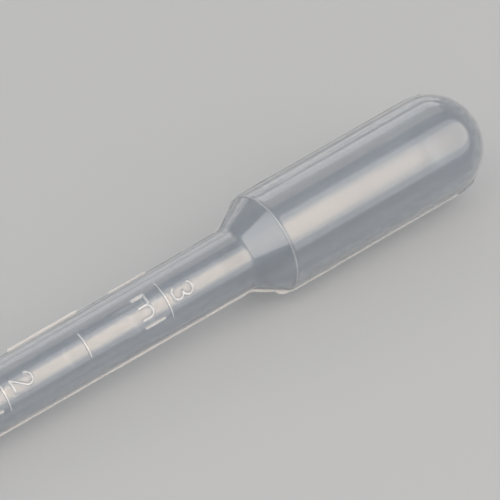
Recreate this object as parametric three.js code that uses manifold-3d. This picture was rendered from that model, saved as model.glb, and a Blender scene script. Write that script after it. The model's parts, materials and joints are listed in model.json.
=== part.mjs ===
// Plastic dropper pipette, also called a transfer pipette: one hollow shell of soft polyethylene,
// blown in a two-part mould. A squeeze bulb with a domed end narrows through a shoulder to a
// graduated barrel, and the barrel narrows again to a long fine tip that is cut square and open.
// Everything is in millimetres, +Z up.
//
// The body is drawn along +X, with its tip at x = 0 and its bulb towards +X. The front graduations
// face +Z and the rear ones -Z, and the mould's parting line runs along both sides, at +Y and -Y. The
// finished solid is then turned about its axis and tipped down to the slope at which it lies on a table.

import * as THREE from 'three';
import { mergeVertices } from 'three/addons/utils/BufferGeometryUtils.js';
import Module from 'manifold-3d';

const wasm = await Module();
wasm.setup();

// -------------------------------------------------------------------------------------------------
// Driving dimensions
// -------------------------------------------------------------------------------------------------

// Outside of the shell, from the bulb down to the tip.
const BULB_DIAMETER = 13.1;
const BULB_LENGTH = 26.3; // the parallel part, without its dome
const SHOULDER_LENGTH = 4.5;
const BARREL_TOP_DIAMETER = 8.08;
const BARREL_FOOT_DIAMETER = 7.8;
const BARREL_LENGTH = 79.8;
const NECK_LENGTH = 5.5; // the cone between the barrel and the fine tip
const TIP_TOP_DIAMETER = 4.4;
const TIP_END_DIAMETER = 3.0;
const TIP_LENGTH = 36.0;

// Walls, measured square to the surface.
const BULB_WALL = 0.4;
const SHOULDER_WALL = 0.42;
const BARREL_WALL = 0.4;
const NECK_WALL = 0.45;
const TIP_WALL = 0.5;

// Radii of the bends in the outside, where one part runs into the next.
const SHOULDER_EDGE_RADIUS = 1.2;
const BARREL_BEND_RADIUS = 1.6;
const NECK_BEND_RADIUS = 5.0;

// Raised graduation lines, one at each half millilitre, long ones at the whole millilitres.
const LAST_MARK_ML = 3;
const MARK_STEP_ML = 0.5;
const LONG_MARK_HALF_ANGLE = THREE.MathUtils.degToRad(34);
const SHORT_MARK_HALF_ANGLE = THREE.MathUtils.degToRad(25);
const MARK_WIDTH = 0.3;
const MARK_HEIGHT = 0.13;
const MARK_DRAFT = 0.06; // how much each side of a line leans in towards its crest
const REAR_MARK_SHIFT = 0.8; // the rear mould half stands this much further towards the bulb

// Parting line: a low seam all along, with thin films of flash standing out from it in places. Each
// film's own height is given where its place is.
const SEAM_HEIGHT = 0.05;
const FLASH_THICKNESS = 0.22;
const FLASH_TEAR = 0.05; // depth of the nicks in a film's torn edge
const FLASH_TOOTH = 0.9; // their spacing

// How far the lying body is turned about its axis, from front graduations straight up towards -Y. It
// is round, so it rests at any turn.
const LYING_TURN = THREE.MathUtils.degToRad(41);

// Facets of the round surfaces. An even number of sides gives a flat facet to lie on at any turn.
const SIDES = 40;
const DOME_STEPS = 9;
const BEND_STEPS = 3;
const MARK_STEPS = 4;

// -------------------------------------------------------------------------------------------------
// Outline of the shell: corners as (radius, distance from the tip)
// -------------------------------------------------------------------------------------------------

const tipTop = TIP_LENGTH;
const barrelFoot = tipTop + NECK_LENGTH;
const barrelTop = barrelFoot + BARREL_LENGTH;
const bulbFoot = barrelTop + SHOULDER_LENGTH;
const bulbTop = bulbFoot + BULB_LENGTH;
const bulbRadius = BULB_DIAMETER / 2;

const OUTER_CORNERS = [
  new THREE.Vector2(TIP_END_DIAMETER / 2, 0),
  new THREE.Vector2(TIP_TOP_DIAMETER / 2, tipTop),
  new THREE.Vector2(BARREL_FOOT_DIAMETER / 2, barrelFoot),
  new THREE.Vector2(BARREL_TOP_DIAMETER / 2, barrelTop),
  new THREE.Vector2(bulbRadius, bulbFoot),
  new THREE.Vector2(bulbRadius, bulbTop),
];
const LEG_WALLS = [TIP_WALL, NECK_WALL, BARREL_WALL, SHOULDER_WALL, BULB_WALL];

// Point where two lines cross, each given by a point and a direction.
function crossing(pointA, directionA, pointB, directionB) {
  const along = pointB.clone().sub(pointA).cross(directionB) / directionA.cross(directionB);
  return pointA.clone().addScaledVector(directionA, along);
}

// The same corners moved in by each leg's own wall, so that the wall is true on the cones too.
function insetCorners(corners, walls) {
  const legs = walls.map((wall, i) => {
    const direction = corners[i + 1].clone().sub(corners[i]).normalize();
    const inward = new THREE.Vector2(-direction.y, direction.x);
    return { direction, start: corners[i].clone().addScaledVector(inward, wall) };
  });
  const axisWards = new THREE.Vector2(1, 0);
  const inner = legs.slice(1).map((leg, i) =>
    crossing(legs[i].start, legs[i].direction, leg.start, leg.direction));
  const first = crossing(legs[0].start, legs[0].direction, corners[0], axisWards);
  const last = legs.at(-1).start.clone();
  last.y = corners.at(-1).y;
  return [first, ...inner, last];
}

// Points of a round bend of the given radius that replaces one corner.
function bend(before, corner, after, radius) {
  const into = before.clone().sub(corner).normalize();
  const away = after.clone().sub(corner).normalize();
  const halfAngle = Math.acos(THREE.MathUtils.clamp(into.dot(away), -1, 1)) / 2;
  const room = 0.45 * Math.min(before.distanceTo(corner), after.distanceTo(corner));
  const reach = Math.min(radius / Math.tan(halfAngle), room);
  const start = corner.clone().addScaledVector(into, reach);
  const end = corner.clone().addScaledVector(away, reach);
  return new THREE.QuadraticBezierCurve(start, corner, end).getPoints(BEND_STEPS);
}

// Quarter circle over the end of the bulb, from its wall to the axis.
function dome(radius, centre) {
  const points = [];
  for (let i = 1; i < DOME_STEPS; i += 1) {
    const angle = (i / DOME_STEPS) * Math.PI / 2;
    points.push(new THREE.Vector2(radius * Math.cos(angle), centre + radius * Math.sin(angle)));
  }
  return [...points, new THREE.Vector2(0, centre + radius)];
}

// Corners turned into a smooth outline: bends at the four inner corners, then the dome.
function outline(corners) {
  const bendRadii = [NECK_BEND_RADIUS, NECK_BEND_RADIUS, BARREL_BEND_RADIUS, SHOULDER_EDGE_RADIUS];
  const bends = bendRadii.flatMap((radius, i) =>
    bend(corners[i], corners[i + 1], corners[i + 2], radius));
  const top = corners.at(-1);
  return [corners[0], ...bends, top, ...dome(top.x, top.y)];
}

const outerOutline = outline(OUTER_CORNERS);
const boreOutline = outline(insetCorners(OUTER_CORNERS, LEG_WALLS));

// Radius of an outline at a distance from the tip.
function radiusAt(points, distance) {
  const next = points.findIndex((point) => point.y >= distance);
  if (next <= 0) {
    return points[0].x;
  }
  const from = points[next - 1];
  const to = points[next];
  return THREE.MathUtils.mapLinear(distance, from.y, to.y, from.x, to.x);
}

// -------------------------------------------------------------------------------------------------
// Graduations: each line stands where the bore below it holds its volume
// -------------------------------------------------------------------------------------------------

const MM3_PER_ML = 1000;

// Height of the part of a cone that holds a volume, from a radius that changes by a slope with
// height.
function heightHolding(volume, radius, slope) {
  if (slope === 0) {
    return volume / (Math.PI * radius ** 2);
  }
  return (Math.cbrt(radius ** 3 + 3 * slope * volume / Math.PI) - radius) / slope;
}

// Distance from the tip at which the bore has taken in a volume, one cone frustum after another.
function levelOf(volume) {
  let held = 0;
  for (let i = 1; i < boreOutline.length; i += 1) {
    const low = boreOutline[i - 1];
    const high = boreOutline[i];
    const height = high.y - low.y;
    const frustum = Math.PI * height * (low.x ** 2 + low.x * high.x + high.x ** 2) / 3;
    if (held + frustum >= volume) {
      return low.y + heightHolding(volume - held, low.x, (high.x - low.x) / height);
    }
    held += frustum;
  }
  return bulbTop;
}

// The lines that fall on the barrel, up to the last one.
function markLevels() {
  const levels = [];
  const count = Math.round(LAST_MARK_ML / MARK_STEP_ML);
  for (let i = 1; i <= count; i += 1) {
    const millilitres = i * MARK_STEP_ML;
    levels.push({ distance: levelOf(millilitres * MM3_PER_ML), long: Number.isInteger(millilitres) });
  }
  return levels.filter(({ distance }) => distance > barrelFoot && distance < barrelTop);
}

// -------------------------------------------------------------------------------------------------
// Solids
// -------------------------------------------------------------------------------------------------

// A closed three.js geometry as a manifold solid. The poles of a lathe leave slivers, which are
// dropped.
function solid(geometry) {
  geometry.deleteAttribute('normal');
  geometry.deleteAttribute('uv');
  const merged = mergeVertices(geometry);
  const index = merged.index.array;
  const triangles = [];
  for (let i = 0; i < index.length; i += 3) {
    const [a, b, c] = index.slice(i, i + 3);
    if (a !== b && b !== c && c !== a) {
      triangles.push(a, b, c);
    }
  }
  return new wasm.Manifold(new wasm.Mesh({
    numProp: 3,
    vertProperties: new Float32Array(merged.attributes.position.array),
    triVerts: new Uint32Array(triangles),
  }));
}

// A manifold solid as a three.js geometry.
function geometryOf(manifold) {
  const mesh = manifold.getMesh();
  const geometry = new THREE.BufferGeometry();
  geometry.setAttribute('position', new THREE.BufferAttribute(mesh.vertProperties, 3));
  geometry.setIndex(new THREE.BufferAttribute(mesh.triVerts, 1));
  geometry.computeVertexNormals();
  return geometry;
}

// An outline revolved about +X, with the middle of a facet where the body touches the table.
function revolved(points) {
  const halfFacet = Math.PI / SIDES;
  const lathe = new THREE.LatheGeometry(points, SIDES, halfFacet - LYING_TURN);
  return solid(lathe.rotateZ(-Math.PI / 2));
}

// Outside of the shell, closed across the cut end of the tip.
function outerBody() {
  return revolved([new THREE.Vector2(0, 0), ...outerOutline]);
}

// The air inside, running out past the cut end so that it opens there.
function cavity() {
  const pastTheEnd = -1;
  const mouth = boreOutline[0];
  return revolved([
    new THREE.Vector2(0, pastTheEnd),
    new THREE.Vector2(mouth.x, pastTheEnd),
    ...boreOutline,
  ]);
}

// One graduation line: part of a ring, bevelled at its crest, whose foot is sunk halfway into the
// wall.
function graduation(distance, halfAngle, facing) {
  const radius = radiusAt(outerOutline, distance);
  const crest = radius + MARK_HEIGHT - MARK_DRAFT;
  const foot = radius - BARREL_WALL / 2;
  const ring = new THREE.Shape();
  ring.absarc(0, 0, crest, Math.PI / 2 - halfAngle, Math.PI / 2 + halfAngle, false);
  ring.absarc(0, 0, foot, Math.PI / 2 + halfAngle, Math.PI / 2 - halfAngle, true);
  const line = new THREE.ExtrudeGeometry(ring, {
    depth: MARK_WIDTH - 2 * MARK_DRAFT,
    curveSegments: MARK_STEPS,
    bevelEnabled: true,
    bevelSegments: 1,
    bevelSize: MARK_DRAFT,
    bevelThickness: MARK_DRAFT,
  });
  // Drawn in the plane across the body: the sketch's x is +Y and its y is +Z, and the line is as wide
  // along +X as the sketch is deep.
  line.applyMatrix4(new THREE.Matrix4().makeBasis(
    new THREE.Vector3(0, 1, 0),
    new THREE.Vector3(0, 0, 1),
    new THREE.Vector3(1, 0, 0),
  ));
  line.translate(distance - MARK_WIDTH / 2 + MARK_DRAFT, 0, 0);
  if (facing < 0) {
    line.rotateX(Math.PI);
  }
  return solid(line);
}

// Where films of flash stand out from the seam, and how far: from and to are distances below the top
// of the dome.
const domeEnd = bulbTop + bulbRadius;
const FILMS = {
  left: [
    { from: 3.6, to: 4.8, height: 0.2 },
    { from: 28.1, to: 29.9, height: 0.12 },
    { from: 33.9, to: 38.3, height: 0.2 },
    { from: 40.9, to: 43.5, height: 0.18 },
    { from: 48.4, to: 54.6, height: 0.3 },
    { from: 54.8, to: 58.6, height: 0.16 },
    { from: 58.9, to: 69.8, height: 0.42 },
  ],
  right: [
    { from: 3.6, to: 5.7, height: 0.36 },
    { from: 33.2, to: 34.8, height: 0.52 },
    { from: 35.0, to: 37.6, height: 0.32 },
    { from: 37.8, to: 58.7, height: 0.22 },
    { from: 60.9, to: 72.0, height: 0.2 },
  ],
};

// Point of the parting line's edge at a distance from the tip, standing out from the outline by a
// height. Over the dome it stands out along the radius, and it sinks away towards the crown.
function partingPoint(distance, height) {
  if (distance <= bulbTop) {
    return new THREE.Vector2(distance, radiusAt(outerOutline, distance) + height);
  }
  const angle = Math.asin(Math.min((distance - bulbTop) / bulbRadius, 1));
  const reach = bulbRadius + height * Math.cos(angle);
  return new THREE.Vector2(bulbTop + reach * Math.sin(angle), reach * Math.cos(angle));
}

// One side of the parting line, from the fine tip to the crown of the dome: the seam follows the
// outline's own points, and each film rises from it with a nicked edge.
function partingEdge(films) {
  const seamStart = TIP_LENGTH / 2;
  const inAFilm = (distance) =>
    films.some(({ from, to }) => distance <= domeEnd - from && distance >= domeEnd - to);
  const seam = outerOutline
    .map((point) => point.y)
    .filter((distance) => distance > seamStart && !inAFilm(distance));
  const edge = [seamStart, ...seam].map((distance) => ({ distance, height: SEAM_HEIGHT }));
  for (const { from, to, height: crest } of films) {
    const nicks = 2 * Math.round((to - from) / FLASH_TOOTH);
    for (let i = 0; i <= nicks; i += 1) {
      const torn = i % 2 === 0 ? FLASH_TEAR : 0;
      const height = i === 0 || i === nicks ? SEAM_HEIGHT : crest - torn;
      const distance = THREE.MathUtils.mapLinear(i, 0, nicks, domeEnd - from, domeEnd - to);
      edge.push({ distance, height });
    }
  }
  edge.sort((a, b) => a.distance - b.distance);
  return edge.map(({ distance, height }) => partingPoint(distance, height));
}

// A thin sheet in the parting plane, standing out all round the body by the height of the seam and
// its films.
function partingLine() {
  const left = partingEdge(FILMS.left);
  const right = partingEdge(FILMS.right).slice(0, -1); // the left side holds the crown's point
  const sheet = new THREE.Shape([
    ...right.map((point) => new THREE.Vector2(point.x, -point.y)),
    ...left.reverse(),
  ]);
  const flash = new THREE.ExtrudeGeometry(sheet, { depth: FLASH_THICKNESS, bevelEnabled: false });
  flash.translate(0, 0, -FLASH_THICKNESS / 2);
  return solid(flash);
}

// The whole shell: the outside with all that is raised on it, less the air inside.
function shell() {
  let body = outerBody().add(partingLine());
  for (const { distance, long } of markLevels()) {
    const halfAngle = long ? LONG_MARK_HALF_ANGLE : SHORT_MARK_HALF_ANGLE;
    body = body.add(graduation(distance, halfAngle, 1));
    body = body.add(graduation(distance + REAR_MARK_SHIFT, halfAngle, -1));
  }
  return body.subtract(cavity());
}

// -------------------------------------------------------------------------------------------------
// The object, lying as it comes to rest
// -------------------------------------------------------------------------------------------------

// The table touches the bulb and the stem once each. Its slope against the axis is that of the line
// that touches both outlines from below, at the foot of the bulb and at the foot of the barrel.
function restingSlope() {
  const bulb = outerOutline.filter((point) => point.y > barrelTop);
  const stem = outerOutline.filter((point) => point.y <= barrelTop);
  const steepest = (low) => Math.max(...bulb.map((high) => (high.x - low.x) / (high.y - low.y)));
  return Math.atan(Math.min(...stem.map(steepest)));
}

const polyethylene = new THREE.MeshStandardMaterial({
  name: 'translucent_polyethylene',
  color: 0xaeb9c2,
  roughness: 0.35,
  metalness: 0.0,
  transparent: true,
  opacity: 0.45,
  side: THREE.DoubleSide,
});

const pipette = new THREE.Mesh(geometryOf(shell()), polyethylene);
pipette.name = 'pipette';
pipette.rotation.x = LYING_TURN;

const lying = new THREE.Group();
lying.rotation.y = -restingSlope();
lying.add(pipette);

// The origin is on the table, under the middle of the object's box.
const box = new THREE.Box3().setFromObject(lying, true);
const middle = box.getCenter(new THREE.Vector3());
lying.position.set(-middle.x, -middle.y, -box.min.z);

const part = new THREE.Group();
part.add(lying);

export default part;
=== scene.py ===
"""Looks of a plastic dropper pipette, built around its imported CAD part.

One closed shell of soft polyethylene stands for the CAD solid: the same outline and bore, with the
raised lines, figures and unit letters of both mould halves and the torn film of the parting line.
"""

import json
import math

import bpy
import numpy as np
from bpy.props import FloatProperty, FloatVectorProperty, PointerProperty
from mathutils import Matrix, Vector


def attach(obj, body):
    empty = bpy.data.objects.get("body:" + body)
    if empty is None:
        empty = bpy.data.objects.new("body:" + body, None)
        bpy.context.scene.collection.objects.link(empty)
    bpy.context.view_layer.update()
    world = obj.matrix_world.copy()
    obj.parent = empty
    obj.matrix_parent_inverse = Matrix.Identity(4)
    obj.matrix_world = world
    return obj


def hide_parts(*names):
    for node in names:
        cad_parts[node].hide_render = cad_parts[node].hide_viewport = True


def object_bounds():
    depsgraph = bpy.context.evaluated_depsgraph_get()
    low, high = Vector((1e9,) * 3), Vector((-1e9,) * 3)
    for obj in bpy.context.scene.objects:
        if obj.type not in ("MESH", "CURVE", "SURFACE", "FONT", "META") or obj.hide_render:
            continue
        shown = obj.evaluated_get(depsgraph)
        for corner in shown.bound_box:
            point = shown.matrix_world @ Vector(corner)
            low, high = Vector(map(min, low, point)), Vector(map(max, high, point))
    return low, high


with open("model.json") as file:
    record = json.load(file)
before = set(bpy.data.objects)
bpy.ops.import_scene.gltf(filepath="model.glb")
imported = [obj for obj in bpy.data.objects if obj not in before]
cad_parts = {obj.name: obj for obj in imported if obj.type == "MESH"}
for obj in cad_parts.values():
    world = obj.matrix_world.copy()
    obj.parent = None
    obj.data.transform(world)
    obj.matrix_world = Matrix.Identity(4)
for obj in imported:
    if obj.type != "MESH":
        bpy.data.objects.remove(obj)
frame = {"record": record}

bl_info = {
    "name": "Plastic dropper pipette",
    "version": (1, 0, 0),
    "blender": (4, 5, 0),
    "location": "3D View > Sidebar > Pipette",
    "description": "Builds a blow-moulded dropper pipette with its graduations, and a plain studio",
    "category": "Add Mesh",
}

MM = 0.001
TIP_MOUNT = frame["record"]["mounts"][0]
CAD_LOW, CAD_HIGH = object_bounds()

# The CAD body has this many flat sides. A round body inside them touches the middle of each.
CAD_SIDES = 40
ROUND_IN_FACETS = math.cos(math.pi / CAD_SIDES)

# Graduation: cubic millimetres from one line to the next, how many lines, and how many make 1 ml.
LINE_VOLUME = 500
LINE_COUNT = 6
LINES_PER_ML = 2

# The fine ring on the shoulder, just below the foot of the bulb, in millimetres.
RING_BELOW_BULB = 0.17
RING_WIDTH = 0.22
RING_HEIGHT = 0.06
RING_DRAFT = 0.06


# --------------------------------------------------------------------------------------------------
# Settings
# --------------------------------------------------------------------------------------------------


def length(name, description, default):
    return FloatProperty(
        name=name, description=description, default=default * MM, min=0.0, precision=5,
        subtype="DISTANCE", unit="LENGTH",
    )


def angle(name, description, default):
    return FloatProperty(
        name=name, description=description, default=math.radians(default), subtype="ANGLE",
        unit="ROTATION",
    )


def share(name, description, default):
    return FloatProperty(
        name=name, description=description, default=default, min=0.0, max=1.0, subtype="FACTOR"
    )


def brightness(name, description, default):
    return FloatProperty(name=name, description=description, default=default, min=0.0)


def colour(name, description, default):
    return FloatVectorProperty(
        name=name, description=description, default=default, min=0.0, max=1.0, size=3,
        subtype="COLOR",
    )


class PipetteSizes(bpy.types.PropertyGroup):
    """Sizes of the moulded shell."""

    bulb_diameter: length("Bulb diameter", "Outside of the squeeze bulb", 13.1)
    bulb_length: length("Bulb length", "Parallel part of the bulb, without its dome", 26.3)
    shoulder_length: length("Shoulder length", "Cone between the barrel and the bulb", 4.5)
    barrel_top: length("Barrel top diameter", "Outside of the barrel below the shoulder", 8.08)
    barrel_foot: length("Barrel foot diameter", "Outside of the barrel above the neck", 7.8)
    barrel_length: length("Barrel length", "From the neck to the shoulder", 79.8)
    neck_length: length("Neck length", "Cone between the barrel and the fine tip", 5.5)
    tip_top: length("Tip top diameter", "Outside of the fine tip at the neck", 4.4)
    tip_end: length("Tip end diameter", "Outside of the fine tip at its open end", 3.0)
    tip_length: length("Tip length", "From the open end to the neck", 36.0)
    tip_wall: length("Tip wall", "Wall of the fine tip", 0.5)
    neck_wall: length("Neck wall", "Wall of the neck", 0.45)
    barrel_wall: length("Barrel wall", "Wall of the barrel", 0.4)
    shoulder_wall: length("Shoulder wall", "Wall of the shoulder", 0.42)
    bulb_wall: length("Bulb wall", "Wall of the bulb", 0.4)
    neck_bend: length("Neck bends", "Radius of both bends at the neck", 5.0)
    barrel_bend: length("Barrel bend", "Radius of the bend from barrel to shoulder", 1.6)
    bulb_edge: length("Bulb edge", "Radius of the edge between shoulder and bulb", 1.2)
    lying_turn: angle("Lying turn", "Front lines from straight up towards -Y", 41.0)


class PipetteMarks(bpy.types.PropertyGroup):
    """Sizes of what is raised on the shell."""

    line_width: length("Line width", "Width of a graduation line", 0.3)
    line_height: length("Line height", "How far a graduation line is raised", 0.13)
    long_half_angle: angle("Long line half angle", "Reach of a whole-millilitre line", 34.0)
    short_half_angle: angle("Short line half angle", "Reach of a half-millilitre line", 24.0)
    rear_shift: length("Rear shift", "How far the rear half stands towards the bulb", 0.8)
    stroke_width: length("Stroke width", "Width of the strokes of figures and letters", 0.3)
    rear_width: length("Rear width", "Width of lines and strokes on the rear half", 0.45)
    stroke_height: length("Stroke height", "How far figures and letters are raised", 0.13)
    seam_height: length("Seam height", "How far the plain parting line is raised", 0.06)
    lower_seam_height: length("Lower seam height", "The same on the side that lies lower", 0.2)
    # Torn film is whitened like the marks: hazier thin plastic, and partly a painted highlight along the
    # seam.
    film_white: share("Film whiteness", "Whiteness of the torn film against the figures", 0.6)


class PipetteFinish(bpy.types.PropertyGroup):
    """Look of the polyethylene."""

    plastic: colour("Plastic", "Colour of the plastic", (0.36, 0.4, 0.45))
    cloud: colour("Cloud", "Colour where the plastic is milkier", (0.44, 0.48, 0.53))
    clear_share: share("Clear share", "Share of the light that passes through", 0.74)
    skin_gloss: share("Outer gloss", "Strength of the glossy outer skin", 1.0)
    gloss: share("Roughness", "Roughness of the moulded skin", 0.1)
    raised_gloss: share("Raised roughness", "Roughness of what is raised on the skin", 0.16)
    # Painted sheen: the colour that the wall whitens towards where it is seen at a slant. Part of it is
    # thicker haze, and part is a painted grazing reflection along the outline.
    slant_sheen_colour: colour("Rim", "Colour where the wall is seen at a slant", (0.95, 0.96, 0.97))
    # Raised marks and film turn this white. Their thicker, rougher plastic is hazier, and the white also
    # stands in as painted glints for the light that their edges catch.
    raised: colour("Raised", "Colour of lines, figures and torn film", (1.0, 1.0, 1.0))
    shadow: colour("Shadow tint", "Light that each skin lets through to the floor", (0.76, 0.79, 0.83))


class StudioSettings(bpy.types.PropertyGroup):
    """Floor, lamps and camera."""

    floor: colour("Floor", "Colour of the floor", (0.55, 0.555, 0.56))
    key_radiance: brightness("Key light", "Brightness of the large soft light", 2.5)
    strip_radiance: brightness("Strip light", "Brightness of the narrow light", 2.2)
    low_radiance: brightness("Low light", "Brightness of the light by the floor", 0.5)
    fill_radiance: brightness("Fill light", "Brightness of the light by the camera", 1.4)
    surround: brightness("Surround", "Brightness of the plain surround", 0.54)
    lamp_distance: length("Lamp distance", "From the body to each lamp", 900.0)
    camera_distance: length("Camera distance", "From the body to the camera", 1000.0)
    camera_lean: angle("Camera lean", "From square on the body towards the tip", 27.5)
    camera_round: angle("Camera turn", "Round the body past the front lines, to -Y", 1.5)
    body_slope: angle("Body slope", "Slope of the body across the picture", 30.0)
    aim_past_barrel: length("Aim", "Aim point, from the barrel's top towards the bulb", 2.44)


# --------------------------------------------------------------------------------------------------
# Outline: (distance from the tip, radius), in millimetres
# --------------------------------------------------------------------------------------------------


class Body:
    """The shell's stations, outline and place, from the settings."""

    def __init__(self, sizes):
        def mm(name):
            return getattr(sizes, name) / MM

        self.neck = mm("tip_length")
        self.barrel_foot = self.neck + mm("neck_length")
        self.barrel_top = self.barrel_foot + mm("barrel_length")
        self.bulb_foot = self.barrel_top + mm("shoulder_length")
        self.ring = self.bulb_foot - RING_BELOW_BULB
        self.bulb_top = self.bulb_foot + mm("bulb_length")
        self.radius = mm("bulb_diameter") / 2
        self.crown = self.bulb_top + self.radius
        self.walls = [mm(n + "_wall") for n in ("tip", "neck", "barrel", "shoulder", "bulb")]
        bends = [mm("neck_bend"), mm("neck_bend"), mm("barrel_bend"), mm("bulb_edge")]
        corners = np.array([
            (0.0, mm("tip_end") / 2),
            (self.neck, mm("tip_top") / 2),
            (self.barrel_foot, mm("barrel_foot") / 2),
            (self.barrel_top, mm("barrel_top") / 2),
            (self.bulb_foot, self.radius),
            (self.bulb_top, self.radius),
        ])
        self.outer = bent(corners, bends)
        self.bore = bent(inset(corners, self.walls), bends)
        self.barrel_radius = mm("barrel_top") / 2
        self.place(sizes, mm("tip_end") / 2 - self.walls[0] / 2)

    def place(self, sizes, mid_wall):
        """Axis, up and side directions of the lying body, from the record's mount on its tip."""
        self.along = -Vector(TIP_MOUNT["axis"]).normalized()
        side = Vector((0, 1, 0))
        up = self.along.cross(side).normalized()
        turn = sizes.lying_turn
        self.front = math.cos(turn) * up - math.sin(turn) * side
        self.left = math.cos(turn) * side + math.sin(turn) * up
        self.tip = Vector(TIP_MOUNT["pos_m"]) - mid_wall * MM * up

    def level(self, volume, samples=40001):
        """Distance from the tip at which the bore holds a volume in cubic millimetres."""
        x = np.linspace(0, self.bulb_top, samples)
        area = math.pi * np.interp(x, *self.bore.T) ** 2
        held = np.concatenate([[0], np.cumsum((area[1:] + area[:-1]) / 2 * np.diff(x))])
        return float(np.interp(volume, held, x))

    def lines(self):
        """(distance, whole millilitres or None) of each line on the barrel."""
        found = []
        for number in range(1, LINE_COUNT + 1):
            whole, rest = divmod(number, LINES_PER_ML)
            found.append((self.level(LINE_VOLUME * number), None if rest else whole))
        return [(x, whole) for x, whole in found if self.barrel_foot < x < self.barrel_top]


def inset(corners, walls):
    """The corners moved in by each leg's own wall."""
    legs = []
    for (start, end), wall in zip(zip(corners, corners[1:]), walls):
        way = (end - start) / np.linalg.norm(end - start)
        legs.append((start + wall * np.array([way[1], -way[0]]), way))
    inner = []
    for (a, way_a), (b, way_b) in zip(legs, legs[1:]):
        t = np.linalg.solve(np.array([way_a, -way_b]).T, b - a)
        inner.append(a + t[0] * way_a)
    start, way = legs[0]
    first = start - way * start[0] / way[0]
    last = np.array([corners[-1][0], legs[-1][0][1]])
    return np.array([first, *inner, last])


def bent(corners, radii, steps=10, most_of_leg=0.45):
    """The corners joined by straight legs, with a round bend at each inner corner."""
    points = [corners[0]]
    for before, corner, after, radius in zip(corners, corners[1:], corners[2:], radii):
        into, away = before - corner, after - corner
        near, far = np.linalg.norm(into), np.linalg.norm(away)
        half = math.acos(np.clip(into @ away / near / far, -1, 1)) / 2
        reach = min(radius / math.tan(half), most_of_leg * min(near, far))
        start, end = corner + into / near * reach, corner + away / far * reach
        for t in np.linspace(0, 1, steps + 1):
            points.append((1 - t) ** 2 * start + 2 * t * (1 - t) * corner + t * t * end)
    return np.array([*points, corners[-1]])


# --------------------------------------------------------------------------------------------------
# What is raised on the shell. A stroke is a line of points (round to the right, towards the bulb),
# in millimetres from the middle of its graduation line.
# --------------------------------------------------------------------------------------------------

# How far the foot of a line, and of a stroke, reaches past its edge, and how wide its flank is.
LINE_FOOT = 0.02
LINE_DRAFT = 0.09
STROKE_FOOT = 0.03
STROKE_DRAFT = 0.096

# Figures and letters stand this far to the right of the middle of their line.
FIGURE_SHIFT = 0.15

# Marks lie within this angle (degrees) to each side of a face's middle, and within this distance
# of their line.
MARKED_ANGLE = 50
MARKED_LENGTH = 5.2

# What is raised turns white from the first height above the skin on, over the second: hazier raised
# plastic, and partly a painted stand-in for the glints on its edges.
WHITE_FROM = 0.03
WHITE_OVER = 0.06


def bow(centre, reach, start, end, steps=16):
    """Points of part of an ellipse, between two angles in degrees."""
    t = np.radians(np.linspace(start, end, steps))
    return np.stack([centre[0] + reach[0] * np.cos(t), centre[1] + reach[1] * np.sin(t)], 1)


FIGURES = {
    1: [np.array([(-0.62, 3.55), (-0.1, 4.05), (-0.1, 1.05)])],
    2: [np.concatenate([
        bow((-0.3, 3.55), (0.75, 0.75), 178, -32),
        [(-0.98, 1.42), (0.48, 1.36)],
    ])],
    3: [
        bow((-0.1, 3.2), (0.75, 0.76), 152, -82),
        bow((-0.1, 1.72), (0.78, 0.76), 82, -152),
    ],
}
UNIT_LETTERS = [
    np.array([(-2.05, -3.95), (-2.05, -2.2), (-1.0, -2.2), (-0.76, -2.42), (-0.7, -2.75), (-0.7, -3.8)]),
    np.concatenate([[(-0.7, -2.75)], bow((0.03, -2.86), (0.72, 0.7), 168, 0), [(0.75, -3.95)]]),
    np.array([(1.8, -3.95), (1.8, -1.12)]),
]


def distance_to(strokes, a, b):
    """Distance from each point (a, b) to the nearest of some strokes."""
    nearest = np.full(a.shape, math.inf)
    for stroke in strokes:
        for (a0, b0), (a1, b1) in zip(stroke, stroke[1:]):
            way = np.array([a1 - a0, b1 - b0])
            t = np.clip(((a - a0) * way[0] + (b - b0) * way[1]) / (way @ way), 0, 1)
            nearest = np.minimum(nearest, np.hypot(a - a0 - t * way[0], b - b0 - t * way[1]))
    return nearest


def ridge(distance, width, height, draft=LINE_DRAFT):
    """Height of a raised line with sloping sides and a flat crest."""
    return height * np.clip((width / 2 + LINE_FOOT - distance) / draft, 0, 1)


def rounded_ridge(distance, width, height):
    """Height of a raised stroke whose sides run softly into the skin."""
    t = np.clip((width / 2 + STROKE_FOOT - distance) / STROKE_DRAFT, 0, 1)
    return height * t * t * (3 - 2 * t)


# Where torn film stands out from the seam: (from, to, height) in millimetres, below the top of the
# dome. The left side is the one that lies uppermost.
FILMS = {
    "left": [
        (3.6, 4.8, 0.2), (28.1, 29.9, 0.12), (33.9, 38.3, 0.2), (40.9, 43.5, 0.18),
        (48.4, 54.6, 0.3), (54.8, 58.6, 0.16), (58.9, 69.8, 0.42),
    ],
    "right": [
        (3.6, 5.7, 0.36), (33.2, 34.8, 0.52), (35.0, 37.6, 0.32), (37.8, 58.7, 0.22),
        (60.9, 72.0, 0.2),
    ],
}


# Half the angle that a film takes up on the body, at its crest and at its foot, in degrees.
FILM_FACES = (1.5, 1.9)

# Length of a film's sloping torn ends, and the share of its height that its ragged edge may lack.
FILM_END = 0.3
FILM_RAGGED = 0.3

# The ragged edge: the middle of the raggedness, and its waves as (size, waves' pace, start).
RAGGED_MIDDLE = 0.5
RAGGED_WAVES = ((0.3, 7.3, 0.0), (0.2, 17.9, 1.3))

# The parting line rises over the first length from the middle of the tip on, and sinks over the
# second one towards the top of the dome.
SEAM_START = 4
SEAM_END = 3


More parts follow.
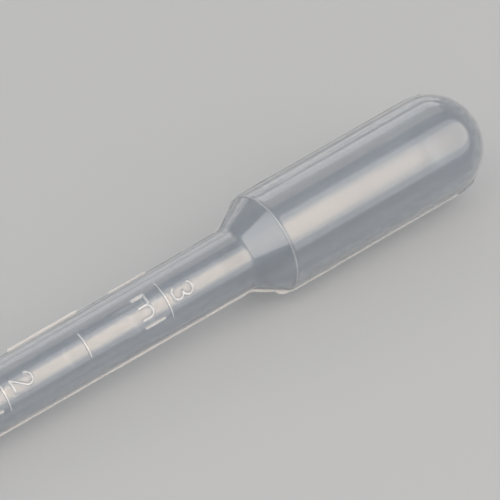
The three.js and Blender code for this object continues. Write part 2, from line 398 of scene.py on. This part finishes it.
def film_height(below_crown, films, seam):
    """Height of one side of the parting line, with the ragged edge of its films."""
    x = below_crown
    height = np.full(x.shape, seam)
    ragged = RAGGED_MIDDLE
    for size, pace, first in RAGGED_WAVES:
        ragged = ragged + size * np.sin(x * pace + first)
    for start, end, crest in films:
        rise = np.clip(np.minimum(x - start, end - x) / FILM_END, 0, 1)
        height = np.maximum(height, seam + rise * (crest - seam) * (1 - FILM_RAGGED * ragged))
    return height


def raised_share(height):
    """From 0 on the plain skin to 1 on what is raised."""
    return np.clip((height - WHITE_FROM) / WHITE_OVER, 0, 1)


def relief(body, marks, x, phi):
    """Height raised on the shell at each station and angle, and how white it is there. The angle
    runs from the front lines towards the right side."""
    height = np.zeros(x.shape)
    line_height, stroke_height = marks.line_height / MM, marks.stroke_height / MM
    front_half = (0.0, 0.0, marks.line_width / MM, marks.stroke_width / MM)
    rear_half = (math.pi, marks.rear_shift / MM, marks.rear_width / MM, marks.rear_width / MM)
    for half, shift, line_width, stroke_width in (front_half, rear_half):
        turn = (phi - half + math.pi) % (2 * math.pi) - math.pi
        across = turn * body.barrel_radius
        facing = np.abs(turn) < math.radians(MARKED_ANGLE)
        for line, whole in body.lines():
            b = x - line - shift
            near = facing & (np.abs(b) < MARKED_LENGTH)
            if not near.any():
                continue
            reach = marks.short_half_angle if whole is None else marks.long_half_angle
            reach = reach * body.barrel_radius - line_width / 2
            strokes = [np.array([(-reach, 0.0), (reach, 0.0)])]
            gap = distance_to(strokes, across[near], b[near])
            raised = ridge(gap, line_width, line_height)
            if whole is not None:
                figures = FIGURES[whole] + UNIT_LETTERS
                gap = distance_to(figures, across[near] - FIGURE_SHIFT, b[near])
                raised = np.maximum(raised, rounded_ridge(gap, stroke_width, stroke_height))
            height[near] = np.maximum(height[near], raised)
    ring = ridge(np.abs(x - body.ring), RING_WIDTH, RING_HEIGHT, RING_DRAFT)
    height = np.maximum(height, ring)
    white = raised_share(height)
    below = body.crown - x
    for side, films, seam in (
        (-1, FILMS["left"], marks.seam_height / MM),
        (1, FILMS["right"], marks.lower_seam_height / MM),
    ):
        offset = (phi - side * math.pi / 2 + math.pi) % (2 * math.pi) - math.pi
        between_faces = sum(FILM_FACES) / 2
        edge = np.abs(offset) < math.radians(between_faces)
        rising = np.clip((x - body.neck / 2) / SEAM_START, 0, 1)
        on_body = rising * np.clip(below / SEAM_END, 0, 1)
        film = edge * on_body * film_height(below, films, seam)
        white = np.maximum(white, marks.film_white * raised_share(film))
        height = np.maximum(height, film)
    return height, white


# --------------------------------------------------------------------------------------------------
# Mesh of the shell
# --------------------------------------------------------------------------------------------------


# Steps between rings, in millimetres: on the tip, the neck, the plain and the torn part of the
# barrel, the shoulder, the bulb, and beside figures.
TIP_STEP = 0.9
NECK_STEP = 0.45
PLAIN_STEP = 0.6
TORN_STEP = 0.33
SHOULDER_STEP = 0.2
BULB_STEP = 0.45
FIGURE_STEP = 0.125

# The torn part of the barrel ends this far below the top of the dome.
TORN_LENGTH = 73

# Where rings are close round a line: with figures and letters, and without.
FIGURE_BAND = (-4.3, 4.4)
PLAIN_BAND = (-0.35, 0.4)

# Other rings this near to a raised line's own rows are left out. A ring nearer than the second
# length to the one before it is left out too.
ROW_CLEARANCE = 0.04
LEAST_STEP = 0.015

# How far the outermost row stands from a line's foot, and from the foot of the ring at the bulb.
LINE_MARGIN = 0.03
RING_MARGIN = 0.07

# Columns: how far the marked face reaches to each side of its middle (degrees), how many columns it
# has, how far the seam's band reaches (degrees), and how many columns the plain skin between has.
FACE_ANGLE = 37
FACE_COLUMNS = 46
SEAM_BAND = 3.6
PLAIN_COLUMNS = 6

# Rings on the dome, its foot and its top not counted.
DOME_RINGS = 23

# An edge sharper than the first angle stays sharp where the shell is crisp: within this length of
# a raised line, and within these angles of the seam and of the middle of the rear face (degrees).
SHARP_ANGLE = 28
CRISP_LENGTH = 0.3
CRISP_SEAM = 3
CRISP_REAR = 45


def line_rows(width, draft=LINE_DRAFT, margin=LINE_MARGIN):
    """Rows of points across a raised line, from its middle."""
    flank = width / 2 + LINE_FOOT
    edge = flank + margin
    return np.array([-edge, -flank, -flank + draft, 0, flank - draft, flank, edge])


def stations(body, marks):
    """Distances of the rings along the outside: close where something is raised, wide elsewhere."""
    def steps(start, end, step):
        return np.arange(start, end, step)

    torn_from = body.crown - TORN_LENGTH
    bulb_from = body.bulb_foot + 1
    wide = np.concatenate([
        steps(0, body.neck, TIP_STEP),
        steps(body.neck, body.barrel_foot, NECK_STEP),
        steps(body.barrel_foot, torn_from, PLAIN_STEP),
        steps(torn_from, body.barrel_top, TORN_STEP),
        steps(body.barrel_top, bulb_from, SHOULDER_STEP),
        steps(bulb_from, body.bulb_top, BULB_STEP),
        body.outer[:, 0],
    ])
    front_edges = line_rows(marks.line_width / MM)
    rear_edges = line_rows(marks.rear_width / MM) + marks.rear_shift / MM
    close, fine = [], []
    for line, whole in body.lines():
        low, high = PLAIN_BAND if whole is None else FIGURE_BAND
        close.append((line + low, line + high + marks.rear_shift / MM))
        fine += [line + front_edges, line + rear_edges]
    fine.append(body.ring + line_rows(RING_WIDTH, RING_DRAFT, RING_MARGIN))
    for low, high in close:
        wide = wide[(wide < low) | (wide > high)]
    found = np.concatenate([wide, *(steps(low, high, FIGURE_STEP) for low, high in close)])
    for band in fine:
        found = found[(found < band[0] - ROW_CLEARANCE) | (found > band[-1] + ROW_CLEARANCE)]
    found = np.unique(np.concatenate([found, *fine]))
    return found[np.concatenate([[True], np.diff(found) > LEAST_STEP])]


def bore_stations(body):
    """Distances of the rings along the bore: few, and clear of its bends by a few millimetres."""
    tip = np.linspace(body.bore[0, 0], body.neck - 3, 8)
    barrel = np.linspace(body.barrel_foot + 4, body.barrel_top - 2, 12)
    bulb = np.linspace(body.bulb_foot + 2, body.bulb_top, 6)
    return np.unique(np.concatenate([tip, barrel, bulb, body.bore[:, 0]]))


def angles():
    """Angles of the columns round the body, from the front lines towards the right side."""
    face = np.radians(np.linspace(-FACE_ANGLE, FACE_ANGLE, FACE_COLUMNS))
    crest, foot = FILM_FACES
    half = [crest / 2, crest, foot, SEAM_BAND]
    seam = np.radians([*(-angle for angle in reversed(half)), 0.0, *half])
    plain = np.radians(np.linspace(FACE_ANGLE, 90 - SEAM_BAND, PLAIN_COLUMNS + 2)[1:-1])
    quarter = [plain, math.pi - plain, math.pi + plain, 2 * math.pi - plain]
    found = [face, face + math.pi, seam + math.pi / 2, seam + 1.5 * math.pi, *quarter]
    return np.sort(np.concatenate(found) % (2 * math.pi))


def skin(body, profile, x_rings, columns, centre_radius, marks=None):
    """One skin, ring by ring to the last one before the crown: distances along and away from the
    axis, in millimetres, and how white each point is."""
    radius = np.interp(x_rings, *profile.T)
    slope = np.gradient(radius, x_rings)
    out = np.stack([-slope, np.ones_like(slope)], 1)
    out /= np.linalg.norm(out, axis=1)[:, None]
    dome = np.radians(np.linspace(0, 90, DOME_RINGS + 2)[1:-1])
    x = np.concatenate([x_rings, body.bulb_top + centre_radius * np.sin(dome)])
    r = np.concatenate([radius, centre_radius * np.cos(dome)])
    n = np.concatenate([out, np.stack([np.sin(dome), np.cos(dome)], 1)])
    height = white = np.zeros((len(x), len(columns)))
    if marks is not None:
        height, white = relief(body, marks, *np.meshgrid(x, columns, indexing="ij"))
    along = x[:, None] + height * n[:, :1]
    away = r[:, None] * ROUND_IN_FACETS + height * n[:, 1:]
    return along, away, white


def in_frame(body, along, away, columns):
    """Points of the frame, in metres, from distances along and away from the axis."""
    axis, front, left = (np.array(v) for v in (body.along, body.front, body.left))
    way = np.cos(columns)[:, None] * front - np.sin(columns)[:, None] * left
    points = along[..., None] * axis + away[..., None] * way
    return points.reshape(-1, 3) * MM + np.array(body.tip)


def shell_mesh(body, marks):
    """The closed shell: outside, bore and the ring at the open tip."""
    columns = angles()
    count = len(columns)
    outer_x = np.append(stations(body, marks), body.bulb_top)
    outer_x = np.unique(outer_x[outer_x <= body.bulb_top])
    bore_x = bore_stations(body)
    outside = skin(body, body.outer, outer_x, columns, body.radius, marks)
    inside = skin(body, body.bore, bore_x, columns, body.bore[-1, 1])
    points, faces, raised, slots = [], [], [], []
    first = 0
    starts = []
    for (along, away, share_raised), flip, crown in (
        (outside, False, body.bulb_top + body.radius),
        (inside, True, body.bulb_top + body.bore[-1, 1]),
    ):
        rings = len(along)
        points.append(in_frame(body, along, away, columns))
        points.append((np.array(body.along) * crown * MM + np.array(body.tip))[None])
        raised += [share_raised.ravel(), [0.0]]
        i, j = np.meshgrid(np.arange(rings - 1), np.arange(count), indexing="ij")
        a = first + i * count + j
        b = first + i * count + (j + 1) % count
        quads = np.stack([a, b, b + count, a + count], -1).reshape(-1, 4)
        top = first + (rings - 1) * count + np.arange(count)
        pole = np.full(count, first + rings * count)
        cap = np.stack([top, np.roll(top, -1), pole], 1)
        if flip:
            quads, cap = quads[:, ::-1], cap[:, ::-1]
        faces += [quads, cap]
        slots += [int(flip)] * (len(quads) + len(cap))
        starts.append(first)
        first += rings * count + 1
    rim_out = starts[0] + np.arange(count)
    rim_in = starts[1] + np.arange(count)
    faces.append(np.stack([rim_in, np.roll(rim_in, -1), np.roll(rim_out, -1), rim_out], 1))
    mesh = bpy.data.meshes.new("pipette_shell")
    mesh.from_pydata(np.concatenate(points).tolist(), [], [f for g in faces for f in g.tolist()])
    slots += [0] * count
    mesh.polygons.foreach_set("material_index", slots)
    mesh.attributes.new("raised", "FLOAT", "POINT").data.foreach_set(
        "value", np.concatenate(raised).astype(np.float32))
    mesh.shade_smooth()
    mesh.set_sharp_from_angle(angle=math.radians(SHARP_ANGLE))
    crisp = np.zeros(len(mesh.vertices), bool)
    on_marks = crisp_points(body, marks, outer_x, columns)
    crisp[:on_marks.size] = on_marks.ravel()
    crisp[rim_out] = crisp[rim_in] = True
    keep_crisp(mesh, crisp)
    return mesh


def crisp_points(body, marks, x, columns):
    """True where edges stay sharp: on the lines, the ring at the bulb, the seam and the rear face."""
    shift = marks.rear_shift / MM
    centres = [line + move for line, _ in body.lines() for move in (0, shift)] + [body.ring]
    near_line = (np.abs(x[:, None] - centres) < CRISP_LENGTH).any(axis=1)
    seam = np.abs(np.cos(columns)) < math.sin(math.radians(CRISP_SEAM))
    rear = np.cos(columns) < -math.cos(math.radians(CRISP_REAR))
    return near_line[:, None] | rear | seam


def keep_crisp(mesh, crisp):
    """Smooth every sharp edge that does not join two crisp points."""
    sharp = mesh.attributes.get("sharp_edge")
    if sharp is None:
        return
    ends = np.empty(2 * len(mesh.edges), np.int32)
    mesh.edges.foreach_get("vertices", ends)
    values = np.empty(len(mesh.edges), bool)
    sharp.data.foreach_get("value", values)
    sharp.data.foreach_set("value", values & crisp[ends.reshape(-1, 2)].all(axis=1))


# --------------------------------------------------------------------------------------------------
# Materials
# --------------------------------------------------------------------------------------------------

POLYETHYLENE_IOR = 1.5

# Texture scales, in repeats per metre: clouding, orange peel, mottling, and flow lines, which are
# long along the body and fine across it.
CLOUD_SCALE = 160.0
PEEL_SCALE = 2600.0
MOTTLE_SCALE = 1500.0
FLOW_SCALES = (70.0, 1500.0, 1500.0)

# Flow lines and mottling together, and the share of haze that they are turned into.
HAZE_FROM = (0.86, 1.14)
HAZE_TO = (0.15, 1.0)

# Orange peel against flow lines, how strongly both show as relief, and how deep it is in metres.
PEEL_SHARE = 0.6
BUMP_STRENGTH = 0.1
BUMP_DEPTH = 0.00002

# Haze and painted sheen by slant (0 seen square on, 1 at the outline). The base colour turns whiter
# where the wall is seen at a slant. Part of this is the longer path through the milky wall, and part is
# a painted stand-in for the grazing reflection along the outline. Given: where it starts, where it is
# full, and its strength there, before the texture's own share of haze.
SLANT_FROM = 0.35
SLANT_FULL = 0.95
SLANT_HAZE_AND_SHEEN = 1.2

# How much the flow lines change the roughness of the outside, and the roughness of its gloss.
FLOW_ROUGHNESS = 0.03
OUTER_COAT_ROUGHNESS = 0.14

# The gloss over the bore, and the bore's two clear tints.
BORE_COAT_IOR = 2.0
BORE_COAT_ROUGHNESS = 0.08
BORE_TINT = (0.94, 0.955, 0.98)
BORE_CLOUD = (1.0, 1.0, 1.0)

# The floor's material.
FLOOR_ROUGHNESS = 0.9
FLOOR_SPECULAR = 0.2


def add(tree, kind, **inputs):
    """A node with some of its inputs set. A name's underscores stand for spaces."""
    node = tree.nodes.new(kind)
    for name, value in inputs.items():
        node.inputs[name.replace("_", " ")].default_value = value
    return node


def map_range(tree, given, wanted):
    """A node that maps one range of values to another."""
    low, high = given
    to_low, to_high = wanted
    return add(
        tree, "ShaderNodeMapRange", From_Min=low, From_Max=high, To_Min=to_low, To_Max=to_high
    )


def number_mix(tree, second):
    """A node that mixes two numbers. Its sockets: the share, the first number and the result."""
    node = add(tree, "ShaderNodeMix")
    # The node has sockets of the same names for vectors and colours, so numbers go by place.
    share, start, end = node.inputs[0], node.inputs[2], node.inputs[3]
    end.default_value = second
    return share, start, node.outputs[0]


def colour_mix(tree, second, first=None):
    """A node that mixes two colours. Its sockets: the share, the first colour and the result."""
    node = add(tree, "ShaderNodeMix")
    node.data_type = "RGBA"
    # Colours go by place too.
    share, start, end = node.inputs[0], node.inputs[6], node.inputs[7]
    if first is not None:
        start.default_value = (*first, 1)
    end.default_value = (*second, 1)
    return share, start, node.outputs[2]


def empty_material(name):
    """A material without nodes."""
    material = bpy.data.materials.new(name)
    material.use_nodes = True
    material.node_tree.nodes.clear()
    return material


def let_lamps_through(tree, surface, tint):
    """Put out the surface, but let lamps shine through it with a tint, so that its shadow is light."""
    lamps = add(tree, "ShaderNodeLightPath")
    through = add(tree, "ShaderNodeBsdfTransparent", Color=(*tint, 1))
    blend = add(tree, "ShaderNodeMixShader")
    tree.links.new(lamps.outputs["Is Shadow Ray"], blend.inputs[0])
    tree.links.new(surface.outputs[0], blend.inputs[1])
    tree.links.new(through.outputs[0], blend.inputs[2])
    out = add(tree, "ShaderNodeOutputMaterial")
    tree.links.new(blend.outputs[0], out.inputs["Surface"])


def moulded_skin_group():
    """Clouding, flow lines along the body and a fine orange peel."""
    group = bpy.data.node_groups.new("moulded_skin", "ShaderNodeTree")
    for name in ("Cloud", "Haze", "Roughness", "Height"):
        group.interface.new_socket(name, in_out="OUTPUT", socket_type="NodeSocketFloat")
    for name, value in (("Roughness", 0.2), ("Variation", 0.05)):
        socket = group.interface.new_socket(name, in_out="INPUT", socket_type="NodeSocketFloat")
        socket.default_value = value
    link = group.links.new
    given, put_out = add(group, "NodeGroupInput"), add(group, "NodeGroupOutput")
    place = add(group, "ShaderNodeTexCoord")
    cloud = add(group, "ShaderNodeTexNoise", Scale=CLOUD_SCALE, Detail=4.0, Roughness=0.55)
    link(place.outputs["Object"], cloud.inputs["Vector"])
    stretch = add(group, "ShaderNodeMapping", Scale=FLOW_SCALES)
    link(place.outputs["Object"], stretch.inputs["Vector"])
    flow = add(group, "ShaderNodeTexNoise", Scale=1.0, Detail=3.0, Roughness=0.5)
    link(stretch.outputs["Vector"], flow.inputs["Vector"])
    peel = add(group, "ShaderNodeTexNoise", Scale=PEEL_SCALE, Detail=2.0, Roughness=0.5)
    link(place.outputs["Object"], peel.inputs["Vector"])
    mottle = add(group, "ShaderNodeTexNoise", Scale=MOTTLE_SCALE, Detail=3.0, Roughness=0.6)
    link(place.outputs["Object"], mottle.inputs["Vector"])
    both = add(group, "ShaderNodeMath")
    both.operation = "ADD"
    link(flow.outputs["Fac"], both.inputs[0])
    link(mottle.outputs["Fac"], both.inputs[1])
    haze = map_range(group, HAZE_FROM, HAZE_TO)
    link(both.outputs[0], haze.inputs["Value"])
    rough = add(group, "ShaderNodeMath")
    rough.operation = "MULTIPLY_ADD"
    centred = add(group, "ShaderNodeMath")
    centred.operation = "SUBTRACT"
    centred.inputs[1].default_value = 0.5
    link(flow.outputs["Fac"], centred.inputs[0])
    link(centred.outputs[0], rough.inputs[0])
    link(given.outputs["Variation"], rough.inputs[1])
    link(given.outputs["Roughness"], rough.inputs[2])
    height = add(group, "ShaderNodeMath")
    height.operation = "MULTIPLY_ADD"
    height.inputs[1].default_value = PEEL_SHARE
    link(peel.outputs["Fac"], height.inputs[0])
    link(flow.outputs["Fac"], height.inputs[2])
    link(cloud.outputs["Fac"], put_out.inputs["Cloud"])
    link(haze.outputs[0], put_out.inputs["Haze"])
    link(rough.outputs[0], put_out.inputs["Roughness"])
    link(height.outputs[0], put_out.inputs["Height"])
    return group


def polyethylene(finish, skin_group):
    """Milky see-through plastic. Lamps shine through it, so that it throws a light shadow."""
    material = empty_material("translucent_polyethylene")
    tree = material.node_tree
    link = tree.links.new
    surface = add(
        tree, "ShaderNodeBsdfPrincipled", Metallic=0.0, IOR=POLYETHYLENE_IOR,
        Transmission_Weight=finish.clear_share, Coat_Weight=finish.skin_gloss,
        Coat_Roughness=OUTER_COAT_ROUGHNESS,
    )
    texture = add(tree, "ShaderNodeGroup")
    texture.node_tree = skin_group
    texture.inputs["Roughness"].default_value = finish.gloss
    texture.inputs["Variation"].default_value = FLOW_ROUGHNESS
    # Painted sheen: the base colour whitens where the wall is seen at a slant. Part of it is real haze
    # along the longer path, and part is a painted grazing reflection along the outline.
    slant = add(tree, "ShaderNodeLayerWeight", Blend=0.5)
    to_slant_sheen = map_range(tree, (SLANT_FROM, SLANT_FULL), (0.0, SLANT_HAZE_AND_SHEEN))
    link(slant.outputs["Facing"], to_slant_sheen.inputs["Value"])
    slant_haze_and_sheen = add(tree, "ShaderNodeMath")
    slant_haze_and_sheen.operation = "MULTIPLY"
    link(to_slant_sheen.outputs[0], slant_haze_and_sheen.inputs[0])
    link(texture.outputs["Haze"], slant_haze_and_sheen.inputs[1])
    raised = add(tree, "ShaderNodeAttribute")
    raised.attribute_name = "raised"
    cloudiness, _, plastic = colour_mix(tree, finish.cloud, first=finish.plastic)
    link(texture.outputs["Cloud"], cloudiness)
    slant_sheen_share, below_slant_sheen, with_slant_sheen = colour_mix(tree, finish.slant_sheen_colour)
    link(slant_haze_and_sheen.outputs[0], slant_sheen_share)
    link(plastic, below_slant_sheen)
    # Raised marks and film whitened: hazier plastic there, and partly painted glints of their edges.
    whiteness, below_marks, with_marks = colour_mix(tree, finish.raised)
    link(raised.outputs["Fac"], whiteness)
    link(with_slant_sheen, below_marks)
    link(with_marks, surface.inputs["Base Color"])
    dullness, below_dull, roughness = number_mix(tree, finish.raised_gloss)
    link(raised.outputs["Fac"], dullness)
    link(texture.outputs["Roughness"], below_dull)
    link(roughness, surface.inputs["Roughness"])
    bump = add(tree, "ShaderNodeBump", Strength=BUMP_STRENGTH, Distance=BUMP_DEPTH)
    link(texture.outputs["Height"], bump.inputs["Height"])
    link(bump.outputs["Normal"], surface.inputs["Normal"])
    link(bump.outputs["Normal"], surface.inputs["Coat Normal"])
    let_lamps_through(tree, surface, finish.shadow)
    return material


def bore_skin(finish, skin_group):
    """Inside of the same wall: clear, so that the far wall and its marks show through."""
    material = empty_material("polyethylene_bore")
    tree = material.node_tree
    surface = add(
        tree, "ShaderNodeBsdfPrincipled", Metallic=0.0, IOR=POLYETHYLENE_IOR,
        Transmission_Weight=1.0, Roughness=finish.gloss, Coat_Weight=1.0, Coat_IOR=BORE_COAT_IOR,
        Coat_Roughness=BORE_COAT_ROUGHNESS,
    )
    texture = add(tree, "ShaderNodeGroup")
    texture.node_tree = skin_group
    cloudiness, _, tint = colour_mix(tree, BORE_CLOUD, first=BORE_TINT)
    tree.links.new(texture.outputs["Cloud"], cloudiness)
    tree.links.new(tint, surface.inputs["Base Color"])
    bump = add(tree, "ShaderNodeBump", Strength=BUMP_STRENGTH, Distance=BUMP_DEPTH)
    tree.links.new(texture.outputs["Height"], bump.inputs["Height"])
    tree.links.new(bump.outputs["Normal"], surface.inputs["Normal"])
    let_lamps_through(tree, surface, (1, 1, 1))
    return material


def plain_floor(studio):
    """The matt floor."""
    material = bpy.data.materials.new("pale_floor")
    material.use_nodes = True
    surface = material.node_tree.nodes["Principled BSDF"]
    surface.inputs["Base Color"].default_value = (*studio.floor, 1)
    surface.inputs["Roughness"].default_value = FLOOR_ROUGHNESS
    surface.inputs["Specular IOR Level"].default_value = FLOOR_SPECULAR
    return material


# --------------------------------------------------------------------------------------------------
# Operators
# --------------------------------------------------------------------------------------------------

# Colours of the lamps.
PLAIN = (1.0, 0.95, 0.89)
SOFT_WARM = (1.0, 0.82, 0.64)
WARM = (1.0, 0.68, 0.38)

# Each lamp: its name, its turn from straight up towards -Y, its lean towards the bulb, the angles
# that it fills across and along the body (all in degrees), the setting that drives it, its share of
# that setting, and its colour.
LAMPS = (
    ("key_core", 47.5, 21.2, 34, 18, "key_radiance", 0.45, WARM),
    ("key_light", 48.5, 31, 47, 78, "key_radiance", 0.38, SOFT_WARM),
    ("key_spill", 51, 31, 73, 76, "key_radiance", 0.36, PLAIN),
    ("strip_light", -51.5, 25, 18, 46, "strip_radiance", 0.5, PLAIN),
    ("strip_core", -51.5, 25, 9, 46, "strip_radiance", 0.62, WARM),
    ("strip_spill", -29, 25, 22, 46, "strip_radiance", 0.24, SOFT_WARM),
    ("low_light", -79, 16, 23, 72, "low_radiance", 1, PLAIN),
    ("fill_light", 27, -31, 78, 34, "fill_radiance", 1, PLAIN),
)

# The lamps that light the scene. The others are only seen in reflections.
LIGHTING = ("key_spill", "strip_light", "fill_light")

# The lamp with square ends. The others are ellipses.
SQUARE_LAMP = "key_core"

SURROUND_COLOUR = (0.97, 0.98, 1.0)

# The floor reaches this far (metres) and lies this far (millimetres) below the body.
FLOOR_REACH = 6.0
FLOOR_GAP = 0.02

# Camera: focal length, sensor and shift to the left of the body in millimetres, and the nearest and
# farthest that it sees in metres.
LENS = 600.0
SENSOR = 36.0
CAMERA_SHIFT = 0.17
CAMERA_NEAR = 0.05
CAMERA_FAR = 50.0


class PIPETTE_OT_shell(bpy.types.Operator):
    """Build the moulded shell with everything that is raised on it"""

    bl_idname = "pipette.shell"
    bl_label = "Build the shell"

    def execute(self, context):
        scene = context.scene
        body = Body(scene.pipette_sizes)
        mesh = shell_mesh(body, scene.pipette_marks)
        skin_group = moulded_skin_group()
        mesh.materials.append(polyethylene(scene.pipette_finish, skin_group))
        mesh.materials.append(bore_skin(scene.pipette_finish, skin_group))
        shell = bpy.data.objects.new("pipette_shell", mesh)
        scene.collection.objects.link(shell)
        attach(shell, "root")
        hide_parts("pipette")
        return {"FINISHED"}


class PIPETTE_OT_studio(bpy.types.Operator):
    """Set out the floor, the lamps, the surround and the camera"""

    bl_idname = "pipette.studio"
    bl_label = "Set out the studio"

    def execute(self, context):
        scene = context.scene
        studio = scene.pipette_studio
        body = Body(scene.pipette_sizes)
        self.floor(scene, studio)
        self.surround(scene, studio)
        aim = body.tip + body.along * (body.barrel_top * MM + studio.aim_past_barrel)
        self.lamps(scene, studio, body, aim)
        self.camera(scene, studio, body, aim)
        scene.view_settings.view_transform = "Standard"
        return {"FINISHED"}

    def floor(self, scene, studio):
        """A wide plain floor, just below the body."""
        near, far = -FLOOR_REACH, FLOOR_REACH
        mesh = bpy.data.meshes.new("floor")
        corners = [(near, near, 0), (far, near, 0), (far, far, 0), (near, far, 0)]
        mesh.from_pydata(corners, [], [(0, 1, 2, 3)])
        mesh.materials.append(plain_floor(studio))
        floor = bpy.data.objects.new("floor", mesh)
        floor.location.z = CAD_LOW.z - FLOOR_GAP * MM
        scene.collection.objects.link(floor)

    def surround(self, scene, studio):
        """Even light from all round."""
        world = bpy.data.worlds.new("surround")
        world.use_nodes = True
        background = world.node_tree.nodes["Background"]
        background.inputs["Color"].default_value = (*SURROUND_COLOUR, 1)
        background.inputs["Strength"].default_value = studio.surround
        scene.world = world

    def lamps(self, scene, studio, body, aim):
        """The area lamps, each turned to the aim point and lengthwise along the body."""
        side = Vector((0, 1, 0))
        up = body.along.cross(side).normalized()
        for name, turn, lean, across, lengthwise, setting, part, tint in LAMPS:
            turn = math.radians(turn)
            lean = math.radians(lean)
            square = math.cos(turn) * up - math.sin(turn) * side
            way = math.sin(lean) * body.along + math.cos(lean) * square
            lamp = bpy.data.lights.new(name, "AREA")
            lamp.shape = "RECTANGLE" if name == SQUARE_LAMP else "ELLIPSE"
            lamp.size = 2 * studio.lamp_distance * math.tan(math.radians(lengthwise / 2))
            lamp.size_y = 2 * studio.lamp_distance * math.tan(math.radians(across / 2))
            filled = math.pi / 4 if lamp.shape == "ELLIPSE" else 1
            radiance = getattr(studio, setting) * part
            lamp.energy = radiance * math.pi * lamp.size * lamp.size_y * filled
            lamp.color = tint
            placed = bpy.data.objects.new(name, lamp)
            lengthwise_way = (math.cos(lean) * body.along - math.sin(lean) * square).normalized()
            turned = Matrix((lengthwise_way, way.cross(lengthwise_way), way)).transposed()
            place = aim + way * studio.lamp_distance
            placed.matrix_world = Matrix.Translation(place) @ turned.to_4x4()
            placed.visible_camera = False
            placed.visible_diffuse = name in LIGHTING
            scene.collection.objects.link(placed)

    def camera(self, scene, studio, body, aim):
        """The camera, placed by its lean and turn from square on the body."""
        lean = studio.camera_lean
        turn = studio.camera_round
        slope = studio.body_slope
        front = math.cos(turn) * body.front - math.sin(turn) * body.left
        left = math.cos(turn) * body.left + math.sin(turn) * body.front
        back = math.cos(lean) * front - math.sin(lean) * body.along
        right = math.cos(lean) * body.along + math.sin(lean) * front
        across = math.cos(slope) * right - math.sin(slope) * left
        upward = math.sin(slope) * right + math.cos(slope) * left
        data = bpy.data.cameras.new("camera")
        data.lens = LENS
        data.sensor_width = SENSOR
        data.clip_start = CAMERA_NEAR
        data.clip_end = CAMERA_FAR
        camera = bpy.data.objects.new("camera", data)
        place = aim + CAMERA_SHIFT * MM * left + back * studio.camera_distance
        turned = Matrix((across, upward, back)).transposed()
        camera.matrix_world = Matrix.Translation(place) @ turned.to_4x4()
        scene.collection.objects.link(camera)
        scene.camera = camera


class PIPETTE_PT_panel(bpy.types.Panel):
    """Settings of the pipette and its studio"""

    bl_idname = "PIPETTE_PT_panel"
    bl_label = "Dropper pipette"
    bl_space_type = "VIEW_3D"
    bl_region_type = "UI"
    bl_category = "Pipette"

    def draw(self, context):
        for group in SETTINGS:
            box = self.layout.box()
            for name in SETTINGS[group].__annotations__:
                box.prop(getattr(context.scene, group), name)
        for operator in (PIPETTE_OT_shell, PIPETTE_OT_studio):
            self.layout.operator(operator.bl_idname)


SETTINGS = {
    "pipette_sizes": PipetteSizes,
    "pipette_marks": PipetteMarks,
    "pipette_finish": PipetteFinish,
    "pipette_studio": StudioSettings,
}
CLASSES = (*SETTINGS.values(), PIPETTE_OT_shell, PIPETTE_OT_studio, PIPETTE_PT_panel)


def register():
    for made in CLASSES:
        bpy.utils.register_class(made)
    for name, group in SETTINGS.items():
        setattr(bpy.types.Scene, name, PointerProperty(type=group))


def unregister():
    for name in SETTINGS:
        delattr(bpy.types.Scene, name)
    for made in reversed(CLASSES):
        bpy.utils.unregister_class(made)


def main():
    register()
    bpy.ops.pipette.shell()
    bpy.ops.pipette.studio()


if __name__ == "__main__":
    main()
